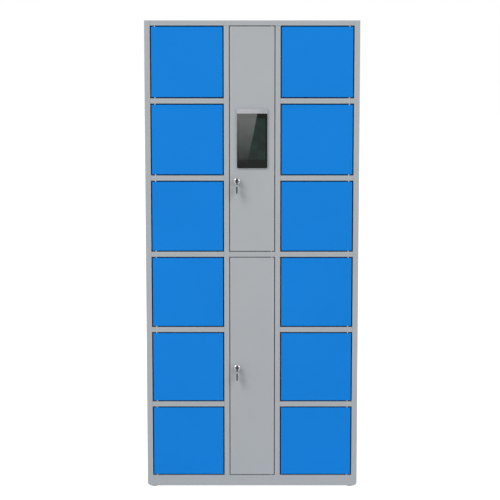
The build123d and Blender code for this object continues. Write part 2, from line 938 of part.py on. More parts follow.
partition = make_partition()
keep("right_partition", partition)
keep("left_partition", mirrored(partition))
shelves = [make_shelf(base_top + (row + 1) * pitch - rail_h) for row in range(rows - 1)]
keep("right_shelves", *shelves)
keep("left_shelves", *[mirrored(shelf) for shelf in shelves])
keep("centre_shelf", make_centre_shelf())
keep("feet", make_feet(), make_foot_nuts())
keep("hinge_pins", make_hinge_pins())

locker_door = make_locker_door()
catch_plate, catch_pin = make_catch()
door_pieces = (locker_door, catch_plate, catch_pin)
housing = make_lock_housing()
screws = make_lock_screws()
latch = make_latch_bolt()
housings = []
all_screws = []
for row in range(rows):
    number = rows - row
    lift = row * pitch
    right_pieces = [raised(piece, lift) for piece in door_pieces]
    keep(f"door_r{number}", *right_pieces)
    keep(f"door_l{number}", *[mirrored(piece) for piece in right_pieces])
    right_latch = raised(latch, lift)
    keep(f"latch_r{number}", right_latch)
    keep(f"latch_l{number}", mirrored(right_latch))
    for pieces, piece in ((housings, housing), (all_screws, screws)):
        right_piece = raised(piece, lift)
        pieces.append(right_piece)
        pieces.append(mirrored(right_piece))
keep("lock_housings", *housings)
keep("lock_screws", *all_screws)

keep("upper_service_door", make_screen_door())
lower_door_top = centre_rail_bottom - service_gap
keep("lower_service_door", make_service_door(lower_door_bottom, lower_door_top, lower_lock_z))
keep("screen_bezel", make_screen_bezel())
keep("screen_glass", make_screen_glass())
keep("screen_module", make_screen_module())

for door, lock_z in (("upper", upper_lock_z), ("lower", lower_lock_z)):
    keep(f"{door}_lock_barrel", make_lock_barrel(lock_z))
    keep(f"{door}_lock_nut", make_lock_nut(lock_z))
    keep(f"{door}_lock_cylinder", make_lock_cylinder(lock_z))
    keep(f"{door}_lock_cam", *make_cam(lock_z))
    keep(f"{door}_key", *make_key(key_plane(lock_z)))
    keep(f"{door}_key_ring", make_key_ring(lock_z))
    keep(f"{door}_spare_key", *make_key(spare_plane(lock_z)))

keep("controller_board", make_controller_board())
keep("power_supply", make_power_supply())
keep("cable_grommet", make_cable_grommet())
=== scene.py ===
import json
import math

import bmesh
import bpy
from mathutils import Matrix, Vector

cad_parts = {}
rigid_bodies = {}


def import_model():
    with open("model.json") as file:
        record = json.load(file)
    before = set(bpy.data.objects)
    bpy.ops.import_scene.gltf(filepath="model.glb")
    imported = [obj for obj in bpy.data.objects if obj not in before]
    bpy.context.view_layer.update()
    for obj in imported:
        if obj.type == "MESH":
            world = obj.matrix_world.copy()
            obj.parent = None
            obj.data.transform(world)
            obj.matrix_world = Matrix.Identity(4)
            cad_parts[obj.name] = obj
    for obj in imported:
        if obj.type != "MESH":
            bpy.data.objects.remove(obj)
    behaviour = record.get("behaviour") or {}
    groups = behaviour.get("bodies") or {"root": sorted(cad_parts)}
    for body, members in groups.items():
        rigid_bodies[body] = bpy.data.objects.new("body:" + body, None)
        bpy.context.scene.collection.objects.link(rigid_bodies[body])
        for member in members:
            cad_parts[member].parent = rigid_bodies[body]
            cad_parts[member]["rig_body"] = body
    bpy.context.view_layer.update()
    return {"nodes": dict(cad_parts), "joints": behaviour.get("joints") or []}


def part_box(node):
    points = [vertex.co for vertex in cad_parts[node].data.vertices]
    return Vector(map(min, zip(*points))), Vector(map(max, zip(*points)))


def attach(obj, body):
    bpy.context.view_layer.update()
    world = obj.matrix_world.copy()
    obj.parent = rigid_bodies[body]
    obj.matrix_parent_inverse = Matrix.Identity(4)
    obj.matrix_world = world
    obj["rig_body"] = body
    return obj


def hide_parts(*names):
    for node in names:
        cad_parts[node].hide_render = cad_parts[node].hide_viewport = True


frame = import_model()
nodes = frame["nodes"]
jointAt = {joint["name"]: Vector(joint["pos_m"]) for joint in frame["joints"] if joint.get("pos_m")}
scene = bpy.context.scene
print("frame loaded,", len(nodes), "nodes")

mm = 0.001


# Small tools for materials


def startMaterial(name):
    material = bpy.data.materials.new(name)
    material.use_nodes = True
    tree = material.node_tree
    place = tree.nodes.new("ShaderNodeTexCoord").outputs["Object"]
    return material, tree, tree.nodes["Principled BSDF"], place


def stretched(tree, place, scale):
    mapping = tree.nodes.new("ShaderNodeMapping")
    mapping.inputs["Scale"].default_value = scale
    tree.links.new(place, mapping.inputs["Vector"])
    return mapping.outputs["Vector"]


def noise(tree, place, scale, detail=2.0):
    node = tree.nodes.new("ShaderNodeTexNoise")
    node.inputs["Scale"].default_value = scale
    node.inputs["Detail"].default_value = detail
    tree.links.new(place, node.inputs["Vector"])
    return node.outputs["Fac"]


def remap(tree, value, fromLow, fromHigh, low, high):
    node = tree.nodes.new("ShaderNodeMapRange")
    for label, number in zip(("From Min", "From Max", "To Min", "To Max"), (fromLow, fromHigh, low, high)):
        node.inputs[label].default_value = number
    tree.links.new(value, node.inputs["Value"])
    return node.outputs["Result"]


def sums(tree, operation, first, second):
    node = tree.nodes.new("ShaderNodeMath")
    node.operation = operation
    for socket, value in zip(node.inputs, (first, second)):
        if isinstance(value, (int, float)):
            socket.default_value = value
        else:
            tree.links.new(value, socket)
    return node.outputs["Value"]


def blended(tree, factor, first, second):
    # Two colours, each a written one or another node's output
    node = tree.nodes.new("ShaderNodeMix")
    node.data_type = "RGBA"
    tree.links.new(factor, node.inputs[0])
    for socket, colour in ((node.inputs[6], first), (node.inputs[7], second)):
        if isinstance(colour, tuple):
            socket.default_value = (*colour, 1)
        else:
            tree.links.new(colour, socket)
    return node.outputs[2]


def bumped(tree, shader, height, strength, distance):
    node = tree.nodes.new("ShaderNodeBump")
    node.inputs["Strength"].default_value = strength
    node.inputs["Distance"].default_value = distance
    tree.links.new(height, node.inputs["Height"])
    tree.links.new(node.outputs["Normal"], shader.inputs["Normal"])


def edgeWearAndHighlightMask(tree, radius):
    # Bright where the surface turns within this radius: a mask for edge wear and for a painted highlight on
    # folds and edges
    bevel = tree.nodes.new("ShaderNodeBevel")
    bevel.samples = 4
    bevel.inputs["Radius"].default_value = radius
    flat = tree.nodes.new("ShaderNodeNewGeometry")
    dot = tree.nodes.new("ShaderNodeVectorMath")
    dot.operation = "DOT_PRODUCT"
    tree.links.new(bevel.outputs["Normal"], dot.inputs[0])
    tree.links.new(flat.outputs["Normal"], dot.inputs[1])
    return remap(tree, dot.outputs["Value"], 0.75, 0.97, 1, 0)


def srgb(red, green, blue):
    def linear(value):
        value = value / 255
        return value / 12.92 if value <= 0.04045 else ((value + 0.055) / 1.055) ** 2.4

    return linear(red), linear(green), linear(blue)


def shaded(colour, factor):
    return tuple(min(1, part * factor) for part in colour)


# Finishes

grains = {"cloud": 4.0, "peel": 700.0, "fleck": 2600.0}  # broad drift, orange peel and specks of the powder
greyCoat = {
    **grains,
    "colour": srgb(171, 175, 178),
    "drift": 0.015,
    "roughness": (0.42, 0.52),
    "specular": 0.28,
    # edge: how much paler the folds are painted, for wear and a painted highlight
    "edge": 1.10,
    "wearAndHighlightReach": 1.4 * mm,
}
blueCoat = {
    **grains,
    "colour": srgb(15, 128, 218),
    "drift": 0.02,
    "roughness": (0.40, 0.50),
    "specular": 0.10,
    # edge: how much paler the folds are painted, for wear and a painted highlight
    "edge": 1.16,
    "wearAndHighlightReach": 2.6 * mm,
}


def powderCoat(name, coat):
    material, tree, shader, place = startMaterial(name)
    peel = noise(tree, place, coat["peel"], 3)
    fleck = noise(tree, place, coat["fleck"], 1)
    cloud = noise(tree, place, coat["cloud"], 2)
    dark = shaded(coat["colour"], 1 - coat["drift"])
    light = shaded(coat["colour"], 1 + coat["drift"])
    broad = blended(tree, remap(tree, cloud, 0.3, 0.7, 0, 1), dark, light)
    speckled = blended(tree, remap(tree, fleck, 0.62, 0.78, 0, 0.25), broad, shaded(coat["colour"], 0.86))
    # Folds and cut edges are made paler: partly edge wear, partly a painted highlight where light catches the
    # folds
    edges = edgeWearAndHighlightMask(tree, coat["wearAndHighlightReach"])
    patchyWearAndHighlight = sums(tree, "MULTIPLY", edges, remap(tree, cloud, 0.35, 0.65, 0.4, 0.9))
    wornAndHighlitColour = blended(tree, patchyWearAndHighlight, speckled, shaded(coat["colour"], coat["edge"]))
    tree.links.new(wornAndHighlitColour, shader.inputs["Base Color"])
    low, high = coat["roughness"]
    tree.links.new(remap(tree, peel, 0.3, 0.7, low, high), shader.inputs["Roughness"])
    shader.inputs["Specular IOR Level"].default_value = coat["specular"]
    bumped(tree, shader, sums(tree, "ADD", peel, sums(tree, "MULTIPLY", fleck, 0.3)), 0.18, 0.12 * mm)
    return material


def platedSteel(name, colour, roughness, stretch, bump=0.05):
    # Bare or plated metal with fine marks along one direction
    material, tree, shader, place = startMaterial(name)
    marks = noise(tree, stretched(tree, place, stretch), 1, 4)
    cloud = noise(tree, place, 160, 3)
    tone = remap(tree, sums(tree, "MULTIPLY", marks, cloud), 0.12, 0.38, 0, 1)
    tree.links.new(blended(tree, tone, shaded(colour, 0.82), colour), shader.inputs["Base Color"])
    shader.inputs["Metallic"].default_value = 1
    tree.links.new(remap(tree, marks, 0.3, 0.7, roughness[0], roughness[1]), shader.inputs["Roughness"])
    bumped(tree, shader, marks, bump, 0.05 * mm)
    return material


def mouldedPlastic(name, colour, roughness, grain=1800.0, specular=0.4, bump=0.15):
    material, tree, shader, place = startMaterial(name)
    spark = noise(tree, place, grain, 2)
    cloud = noise(tree, place, 30, 2)
    base = blended(tree, remap(tree, cloud, 0.3, 0.7, 0, 1), shaded(colour, 0.93), shaded(colour, 1.05))
    # Edges are made paler: partly wear, partly a painted highlight
    edges = edgeWearAndHighlightMask(tree, 0.5 * mm)
    wornAndHighlitColour = blended(tree, sums(tree, "MULTIPLY", edges, 0.35), base, shaded(colour, 1.6))
    tree.links.new(wornAndHighlitColour, shader.inputs["Base Color"])
    tree.links.new(remap(tree, spark, 0.3, 0.7, roughness[0], roughness[1]), shader.inputs["Roughness"])
    shader.inputs["Specular IOR Level"].default_value = specular
    bumped(tree, shader, spark, bump, 0.04 * mm)
    return material


def circuitGreen(name):
    # Solder mask over copper tracks
    material, tree, shader, place = startMaterial(name)
    tracks = tree.nodes.new("ShaderNodeTexVoronoi")
    tracks.distance = "CHEBYCHEV"
    tracks.inputs["Scale"].default_value = 140
    tree.links.new(place, tracks.inputs["Vector"])
    lines = remap(tree, tracks.outputs["Distance"], 0.42, 0.5, 0, 1)
    base = blended(tree, lines, (0.006, 0.075, 0.025), (0.02, 0.15, 0.05))
    dust = noise(tree, place, 300, 2)
    dusty = blended(tree, remap(tree, dust, 0.5, 0.8, 0, 0.3), base, (0.03, 0.1, 0.05))
    tree.links.new(dusty, shader.inputs["Base Color"])
    tree.links.new(remap(tree, dust, 0.3, 0.7, 0.28, 0.42), shader.inputs["Roughness"])
    bumped(tree, shader, lines, 0.3, 0.03 * mm)
    return material


paintGrey = powderCoat("grey powder coat", greyCoat)
paintBlue = powderCoat("blue powder coat", blueCoat)
# The service doors' folds get a strong painted highlight, paler and wider than on the other coats
serviceGreyEdgeHighlight = powderCoat("service door coat", {**greyCoat, "edge": 1.5, "wearAndHighlightReach": 3.2 * mm})
zinc = platedSteel("zinc plate", (0.62, 0.63, 0.62), (0.28, 0.42), (900, 900, 60))
chrome = platedSteel("bright chrome", (0.44, 0.445, 0.455), (0.2, 0.27), (400, 400, 400), 0.02)
nickel = platedSteel("dull nickel", (0.2, 0.2, 0.205), (0.3, 0.45), (1200, 60, 1200))
bladeSteel = platedSteel("key blade", (0.42, 0.415, 0.4), (0.2, 0.34), (1500, 120, 1500))
rawAluminium = platedSteel("bare aluminium", (0.56, 0.57, 0.58), (0.3, 0.45), (60, 900, 900))
keyPlastic = mouldedPlastic("key plastic", (0.014, 0.014, 0.015), (0.38, 0.52), 1800, 0.28)
lockPlastic = mouldedPlastic("lock case", (0.028, 0.028, 0.03), (0.5, 0.64))
framePlastic = mouldedPlastic("screen frame", srgb(171, 173, 178), (0.03, 0.09), 900, 0.3, 0.02)
casePlastic = mouldedPlastic("display case", (0.045, 0.045, 0.05), (0.5, 0.62))
relayPlastic = mouldedPlastic("relay case", (0.02, 0.12, 0.42), (0.3, 0.4))
terminalPlastic = mouldedPlastic("terminal case", (0.03, 0.2, 0.09), (0.4, 0.5))
chipPlastic = mouldedPlastic("chip case", (0.02, 0.02, 0.02), (0.5, 0.6))
footRubber = mouldedPlastic("grey rubber", (0.2, 0.2, 0.2), (0.7, 0.85), 900, 0.25, 0.3)
blackRubber = mouldedPlastic("black rubber", (0.018, 0.018, 0.018), (0.6, 0.75), 900, 0.3, 0.3)
circuit = circuitGreen("circuit board")
print("finishes made")


# Small tools for meshes


def linked(name, mesh):
    piece = bpy.data.objects.new(name, mesh)
    scene.collection.objects.link(piece)
    return piece


def fromFaces(name, points, faces, material):
    mesh = bpy.data.meshes.new(name)
    mesh.from_pydata([tuple(point) for point in points], [], faces)
    shell = bmesh.new()
    shell.from_mesh(mesh)
    bmesh.ops.remove_doubles(shell, verts=shell.verts, dist=1e-6)
    bmesh.ops.recalc_face_normals(shell, faces=shell.faces)
    shell.to_mesh(mesh)
    shell.free()
    mesh.materials.append(material)
    return linked(name, mesh)


def baked(piece):
    # The evaluated mesh takes the place of the modifiers
    graph = bpy.context.evaluated_depsgraph_get()
    mesh = bpy.data.meshes.new_from_object(piece.evaluated_get(graph))
    piece.modifiers.clear()
    piece.data = mesh
    mesh.name = piece.name
    return piece


def rounded(piece, width, segments=2):
    bevel = piece.modifiers.new("bevel", "BEVEL")
    bevel.width = width
    bevel.segments = segments
    bevel.limit_method = "ANGLE"
    bevel.angle_limit = math.radians(35)
    return baked(piece)


def cut(piece, cutter):
    boolean = piece.modifiers.new("cut", "BOOLEAN")
    boolean.operation = "DIFFERENCE"
    boolean.object = cutter
    baked(piece)
    bpy.data.objects.remove(cutter)
    return piece


def joined(name, pieces):
    # One mesh from several, each face keeping its finish
    shell = bmesh.new()
    materials = []
    for piece in pieces:
        start = len(shell.faces)
        shell.from_mesh(piece.data)
        shell.faces.ensure_lookup_table()
        own = list(piece.data.materials)
        for face in shell.faces[start:]:
            material = own[face.material_index]
            if material not in materials:
                materials.append(material)
            face.material_index = materials.index(material)
        bpy.data.objects.remove(piece)
    mesh = bpy.data.meshes.new(name)
    shell.to_mesh(mesh)
    shell.free()
    for material in materials:
        mesh.materials.append(material)
    return linked(name, mesh)


def seat(piece, body, slotName, *stoodFor):
    # The last step for a piece: shading, body and the CAD nodes it stands for
    for face in piece.data.polygons:
        face.use_smooth = True
    piece.data.set_sharp_from_angle(angle=math.radians(32))
    flatten = piece.modifiers.new("flat faces stay flat", "WEIGHTED_NORMAL")
    flatten.keep_sharp = True
    baked(piece)
    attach(piece, body)
    if stoodFor:
        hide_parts(*stoodFor)
    return piece


def turned(name, profile, origin, direction, material, steps=48, loop=False):
    # A profile of (radius, distance along) pairs turned about an axis
    out = Vector(direction).normalized()
    side = out.orthogonal().normalized()
    other = out.cross(side)
    points, rings = [], []
    for radius, along in profile:
        count = 1 if radius < 1e-7 else steps
        rings.append(list(range(len(points), len(points) + count)))
        for step in range(count):
            angle = 2 * math.pi * step / steps
            points.append(origin + out * along + (side * math.cos(angle) + other * math.sin(angle)) * radius)
    faces = []
    pairs = list(zip(rings, rings[1:] + rings[:1])) if loop else list(zip(rings, rings[1:]))
    for first, second in pairs:
        for step in range(steps):
            after = (step + 1) % steps
            corners = [first[step % len(first)], first[after % len(first)]]
            corners += [second[after % len(second)], second[step % len(second)]]
            faces.append(list(dict.fromkeys(corners)))
    return fromFaces(name, points, faces, material)


def slab(name, outline, origin, across, up, thickness, material):
    # A flat outline given thickness along across x up
    across, up = Vector(across), Vector(up)
    out = across.cross(up)
    points = []
    for level in (0, thickness):
        points += [origin + across * x + up * y + out * level for x, y in outline]
    count = len(outline)
    faces = [list(range(count)), list(range(2 * count - 1, count - 1, -1))]
    for step in range(count):
        after = (step + 1) % count
        faces.append([step, after, after + count, step + count])
    return fromFaces(name, points, faces, material)


def roundedOutline(width, height, radii, steps=6):
    # Corners run from lower left, turning left; radii are given in that order
    corners = ((-1, -1, 180), (1, -1, 270), (1, 1, 0), (-1, 1, 90))
    outline = []
    for (sideX, sideY, start), radius in zip(corners, radii):
        centreX = sideX * (width / 2 - radius)
        centreY = sideY * (height / 2 - radius)
        count = steps if radius > 0 else 0
        for step in range(count + 1):
            angle = math.radians(start + 90 * step / max(count, 1))
            outline.append((centreX + radius * math.cos(angle), centreY + radius * math.sin(angle)))
    return outline


def smoothCopy(node, material, slotName):
    # The node's own shape with its loose triangles merged, for soft shading on round parts
    source = nodes[node]
    mesh = source.data.copy()
    shell = bmesh.new()
    shell.from_mesh(mesh)
    bmesh.ops.remove_doubles(shell, verts=shell.verts, dist=1e-6)
    shell.to_mesh(mesh)
    shell.free()
    mesh.materials.clear()
    mesh.materials.append(material)
    if "custom_normal" in mesh.attributes:
        mesh.attributes.remove(mesh.attributes["custom_normal"])
    piece = linked(node + "_smooth", mesh)
    return seat(piece, source["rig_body"], slotName, node)


# Small tools for Geometry Nodes


def startTree(name, sizes):
    tree = bpy.data.node_groups.new(name, "GeometryNodeTree")
    tree.interface.new_socket("Geometry", in_out="INPUT", socket_type="NodeSocketGeometry")
    for label, kind in sizes.items():
        tree.interface.new_socket(label, in_out="INPUT", socket_type="NodeSocket" + kind)
    tree.interface.new_socket("Geometry", in_out="OUTPUT", socket_type="NodeSocketGeometry")
    return tree, tree.nodes.new("NodeGroupInput").outputs, tree.nodes.new("NodeGroupOutput").inputs


def treeNode(tree, kind, links=(), **values):
    # A node with its sockets filled from other nodes, by name or number
    node = tree.nodes.new(kind)
    for key, value in values.items():
        setattr(node, key, value)
    for key, value in dict(links).items():
        if isinstance(value, bpy.types.NodeSocket):
            tree.links.new(value, node.inputs[key])
        else:
            node.inputs[key].default_value = value
    return node.outputs


def finishTree(tree, geometry, given, result):
    realised = treeNode(tree, "GeometryNodeRealizeInstances", {"Geometry": geometry})
    coated = treeNode(tree, "GeometryNodeSetMaterial", {"Geometry": realised[0], "Material": given["Finish"]})
    tree.links.new(coated[0], result[0])


def grown(name, mesh, tree, values):
    piece = linked(name, mesh)
    modifier = piece.modifiers.new("grow", "NODES")
    modifier.node_group = tree
    for item in tree.interface.items_tree:
        if item.item_type == "SOCKET" and item.in_out == "INPUT" and item.name in values:
            modifier[item.identifier] = values[item.name]
    return baked(piece)


def pointsFacing(name, spots, edges=()):
    # Points that each carry the direction their copy faces
    mesh = bpy.data.meshes.new(name)
    mesh.from_pydata([tuple(spot) for spot, facing in spots], list(edges), [])
    facing = mesh.attributes.new("facing", "FLOAT_VECTOR", "POINT")
    facing.data.foreach_set("vector", [part for spot, way in spots for part in way])
    return mesh


def facingRotation(tree):
    facing = treeNode(tree, "GeometryNodeInputNamedAttribute", {"Name": "facing"}, data_type="FLOAT_VECTOR")
    return treeNode(tree, "FunctionNodeAlignRotationToVector", {"Vector": facing[0]}, axis="Z")[0]


def times(tree, first, second):
    return treeNode(tree, "ShaderNodeMath", {0: first, 1: second}, operation="MULTIPLY")[0]


def makeScrewTree():
    # A pan head with a crossed recess on every point
    sizes = {"Head radius": "Float", "Head height": "Float", "Recess width": "Float", "Finish": "Material"}
    tree, given, result = startTree("screw heads", sizes)
    topShare, recessShare = 0.8, 1.05  # of the head's radius
    topRadius = times(tree, given["Head radius"], topShare)
    head = treeNode(
        tree,
        "GeometryNodeMeshCone",
        {
            "Vertices": 20,
            "Radius Top": topRadius,
            "Radius Bottom": given["Head radius"],
            "Depth": given["Head height"],
        },
    )
    length = times(tree, given["Head radius"], recessShare)
    lift = treeNode(tree, "ShaderNodeCombineXYZ", {"Z": given["Head height"]})
    recessed = head[0]
    for across, along in ((length, given["Recess width"]), (given["Recess width"], length)):
        size = treeNode(tree, "ShaderNodeCombineXYZ", {"X": across, "Y": along, "Z": given["Head height"]})
        bar = treeNode(tree, "GeometryNodeMeshCube", {"Size": size[0]})
        raised = treeNode(tree, "GeometryNodeTransform", {"Geometry": bar[0], "Translation": lift[0]})
        recessed = treeNode(
            tree,
            "GeometryNodeMeshBoolean",
            {"Mesh 1": recessed, "Mesh 2": raised[0]},
            operation="DIFFERENCE",
            solver="EXACT",
        )[0]
    placed = treeNode(
        tree,
        "GeometryNodeInstanceOnPoints",
        {"Points": given["Geometry"], "Instance": recessed, "Rotation": facingRotation(tree)},
    )
    finishTree(tree, placed[0], given, result)
    return tree


def makeWeldTree():
    # Shallow round marks along the edges of the seed mesh, a little uneven
    sizes = {"Pitch": "Float", "Mark radius": "Float", "Mark height": "Float"}
    tree, given, result = startTree("spot welds", {**sizes, "Seed": "Int", "Finish": "Material"})
    topShare = 0.7  # of the mark's radius
    lines = treeNode(tree, "GeometryNodeMeshToCurve", {"Mesh": given["Geometry"]})
    spaced = treeNode(
        tree, "GeometryNodeResampleCurve", {"Curve": lines[0], "Length": given["Pitch"]}, mode="LENGTH"
    )
    mark = treeNode(
        tree,
        "GeometryNodeMeshCone",
        {
            "Vertices": 16,
            "Radius Top": times(tree, given["Mark radius"], topShare),
            "Radius Bottom": given["Mark radius"],
            "Depth": given["Mark height"],
        },
    )
    uneven = treeNode(
        tree, "FunctionNodeRandomValue", {"Seed": given["Seed"], 2: 0.85, 3: 1.1}, data_type="FLOAT"
    )
    placed = treeNode(
        tree,
        "GeometryNodeInstanceOnPoints",
        {"Points": spaced[0], "Instance": mark[0], "Rotation": facingRotation(tree), "Scale": uneven[1]},
    )
    finishTree(tree, placed[0], given, result)
    return tree


def makeThreadTree():
    # A thread wound on the Z axis, then turned and moved to its place
    sizes = {"Turns": "Float", "Radius": "Float", "Length": "Float", "Ridge": "Float"}
    place = {"Place": "Vector", "Tilt": "Rotation", "Finish": "Material"}
    tree, given, result = startTree("screw thread", {**sizes, **place})
    helix = treeNode(
        tree,
        "GeometryNodeCurveSpiral",
        {
            "Resolution": 24,
            "Rotations": given["Turns"],
            "Start Radius": given["Radius"],
            "End Radius": given["Radius"],
            "Height": given["Length"],
        },
    )
    ridge = treeNode(tree, "GeometryNodeCurvePrimitiveCircle", {"Resolution": 4, "Radius": given["Ridge"]})
    wound = treeNode(
        tree, "GeometryNodeCurveToMesh", {"Curve": helix[0], "Profile Curve": ridge[0], "Fill Caps": True}
    )
    placed = treeNode(
        tree,
        "GeometryNodeTransform",
        {"Geometry": wound[0], "Translation": given["Place"], "Rotation": given["Tilt"]},
    )
    finishTree(tree, placed[0], given, result)
    return tree


def makeBlockTree():
    # A block on every point, standing on its wide side, its far end a little narrower
    sizes = {"Width": "Float", "Height": "Float", "Depth": "Float", "Taper": "Float", "Finish": "Material"}
    tree, given, result = startTree("blocks", sizes)
    sides = {"X": given["Width"], "Y": given["Height"], "Z": given["Depth"]}
    size = treeNode(tree, "ShaderNodeCombineXYZ", sides)
    lift = treeNode(tree, "ShaderNodeCombineXYZ", {"Z": times(tree, given["Depth"], 0.5)})
    cube = treeNode(tree, "GeometryNodeMeshCube", {"Size": size[0]})
    stood = treeNode(tree, "GeometryNodeTransform", {"Geometry": cube[0], "Translation": lift[0]})
    way = treeNode(tree, "ShaderNodeSeparateXYZ", {0: treeNode(tree, "GeometryNodeInputNormal")[0]})
    isEnd = treeNode(tree, "ShaderNodeMath", {0: way["Z"], 1: 0.5}, operation="GREATER_THAN")
    lifted = treeNode(
        tree,
        "GeometryNodeExtrudeMesh",
        {"Mesh": stood[0], "Selection": isEnd[0], "Offset Scale": given["Taper"]},
    )
    # The end face draws in by twice the taper across its width and its height
    narrowed = lifted[0]
    for side, axis in (("Width", (1, 0, 0)), ("Height", (0, 1, 0))):
        share = treeNode(tree, "ShaderNodeMath", {0: given["Taper"], 1: given[side]}, operation="DIVIDE")
        twice = times(tree, share[0], 2.0)
        ratio = treeNode(tree, "ShaderNodeMath", {0: 1.0, 1: twice}, operation="SUBTRACT")
        narrowed = treeNode(
            tree,
            "GeometryNodeScaleElements",
            {"Geometry": narrowed, "Selection": lifted["Top"], "Scale": ratio[0], "Axis": axis},
            scale_mode="SINGLE_AXIS",
        )[0]
    placed = treeNode(
        tree,
        "GeometryNodeInstanceOnPoints",
        {"Points": given["Geometry"], "Instance": narrowed, "Rotation": facingRotation(tree)},
    )
    finishTree(tree, placed[0], given, result)
    return tree


screwTree = makeScrewTree()
blockTree = makeBlockTree()
weldTree = makeWeldTree()
threadTree = makeThreadTree()
print("node trees made")


# Finishes on the carried-over nodes

greyParts = ("panel", "partition", "shelves", "shelf")  # the last word of their names
coatOf = {
    "upper_service_door": serviceGreyEdgeHighlight,
    "lower_service_door": serviceGreyEdgeHighlight,
    "lock_housings": lockPlastic,
    "screen_bezel": framePlastic,
    "screen_module": casePlastic,
    "controller_board": circuit,
    "power_supply": rawAluminium,
}
for node, piece in nodes.items():
    if node.split("_")[-1] in greyParts:
        coat = paintGrey
    elif node.startswith("door_"):
        coat = paintBlue
    else:
        coat = coatOf.get(node, zinc)
    if not piece.material_slots:
        piece.data.materials.append(coat)
    for slot in piece.material_slots:
        slot.material = coat

smoothNodes = {"hinge_pins": (zinc, "zinc_plate"), "cable_grommet": (blackRubber, "black_rubber")}
for which in ("upper", "lower"):
    smoothNodes[which + "_lock_cylinder"] = (nickel, "lock_steel")
    smoothNodes[which + "_lock_nut"] = (zinc, "zinc_plate")
    smoothNodes[which + "_lock_cam"] = (zinc, "zinc_plate")
for number in range(1, 7):
    for side in "lr":
        smoothNodes[f"latch_{side}{number}"] = (zinc, "zinc_plate")
for node, (coat, slotName) in smoothNodes.items():
    smoothCopy(node, coat, slotName)
print("carried-over nodes finished")


# The screen's cover glass

screenGlass = {
    "cornerRadius": 6.2 * mm,
    "edge": 0.25 * mm,
    "litWidth": 105.0 * mm,
    "litHeight": 165.5 * mm,
    "litMiddle": 1429.5 * mm,  # height above the floor
    "border": (0.008, 0.009, 0.0075),
    "panel": (0.0145, 0.021, 0.0185),
    "panelLight": (0.018, 0.034, 0.029),
}


def glassFinish(look):
    material, tree, shader, place = startMaterial("black cover glass")
    axes = tree.nodes.new("ShaderNodeSeparateXYZ")
    tree.links.new(place, axes.inputs[0])
    offMiddle = sums(tree, "ABSOLUTE", sums(tree, "SUBTRACT", axes.outputs["Z"], look["litMiddle"]), 0)
    insideX = sums(tree, "LESS_THAN", sums(tree, "ABSOLUTE", axes.outputs["X"], 0), look["litWidth"] / 2)
    insideZ = sums(tree, "LESS_THAN", offMiddle, look["litHeight"] / 2)
    panel = sums(tree, "MULTIPLY", insideX, insideZ)
    mottle = noise(tree, place, 28, 3)
    lit = blended(tree, remap(tree, mottle, 0.4, 0.65, 0, 1), look["panel"], look["panelLight"])
    tree.links.new(blended(tree, panel, look["border"], lit), shader.inputs["Base Color"])
    smear = noise(tree, place, 45, 4)
    tree.links.new(remap(tree, smear, 0.35, 0.7, 0.0, 0.016), shader.inputs["Roughness"])
    shader.inputs["IOR"].default_value = 1.5
    return material


def makeScreenGlass(look):
    low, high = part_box("screen_glass")
    width, height, thickness = high.x - low.x, high.z - low.z, high.y - low.y
    radius = look["cornerRadius"]
    outline = roundedOutline(width, height, (radius, radius, 0, 0))
    origin = Vector(((low.x + high.x) / 2, high.y, (low.z + high.z) / 2))
    glass = slab("cover_glass", outline, origin, (1, 0, 0), (0, 0, 1), thickness, glassFinish(look))
    rounded(glass, look["edge"])
    return seat(glass, "upper_service_door", "screen_glass", "screen_glass")


makeScreenGlass(screenGlass)
print("screen made")


# Keys, rings and lock barrels

keyShape = {
    "bowWidth": 26.0 * mm,
    "bowLength": 27.0 * mm,
    "bowThickness": 5.0 * mm,
    "bowCorner": 8.0 * mm,
    "bowEdge": 1.1 * mm,
    "holeRadius": 2.5 * mm,
    "holeBevel": 0.5 * mm,
    "holeFromEnd": 5.0 * mm,
    "panelShare": (0.62, 0.42, 0.38),  # width, length and middle of the sunk panel, of the bow's sizes
    "panelCorner": 2.5 * mm,
    "panelDepth": 0.5 * mm,
    "bladeLength": 24.0 * mm,
    "bladeWidth": 7.6 * mm,
    "bladeThickness": 2.0 * mm,
    "bladeEdge": 0.12 * mm,
    "tip": 1.9 * mm,
    "grooves": ((-1, -0.9 * mm), (1, 1.1 * mm)),  # the face each is cut in, and its place across
    "grooveWidth": 1.6 * mm,
    "grooveDepth": 0.45 * mm,
    "grooveCorner": 0.2 * mm,
    "cuts": ((6.2, 1.6), (11.0, 0.8), (15.8, 1.6), (20.6, 0.8)),  # from the shoulder and deep, in mm
}
ringShape = {"turns": 1.9, "ridge": 0.5, "depth": 0.92}  # the last two are shares of the wire
barrelShape = {
    "faceRadius": 12.5 * mm,
    "faceThickness": 3.0 * mm,
    "bore": 7.05 * mm,
    "coreRadius": 9.05 * mm,
    "threadRadius": 9.15 * mm,
    "flats": 16.0 * mm,
    "length": 20.5 * mm,
    "threadFrom": 5.4 * mm,
    "threadPitch": 1.0 * mm,
    "threadRidge": 0.34,  # of the pitch
    "threadEnd": 0.4 * mm,
    "threadShort": 0.8,  # turns left plain under the face
    "step": 0.35 * mm,  # of the groove round the plug
    "groove": 0.25 * mm,
    "rim": 0.2 * mm,
    "dome": (14, 37),  # slope of the face at its rim round the plug and at its outer edge
    "rings": 10,
}


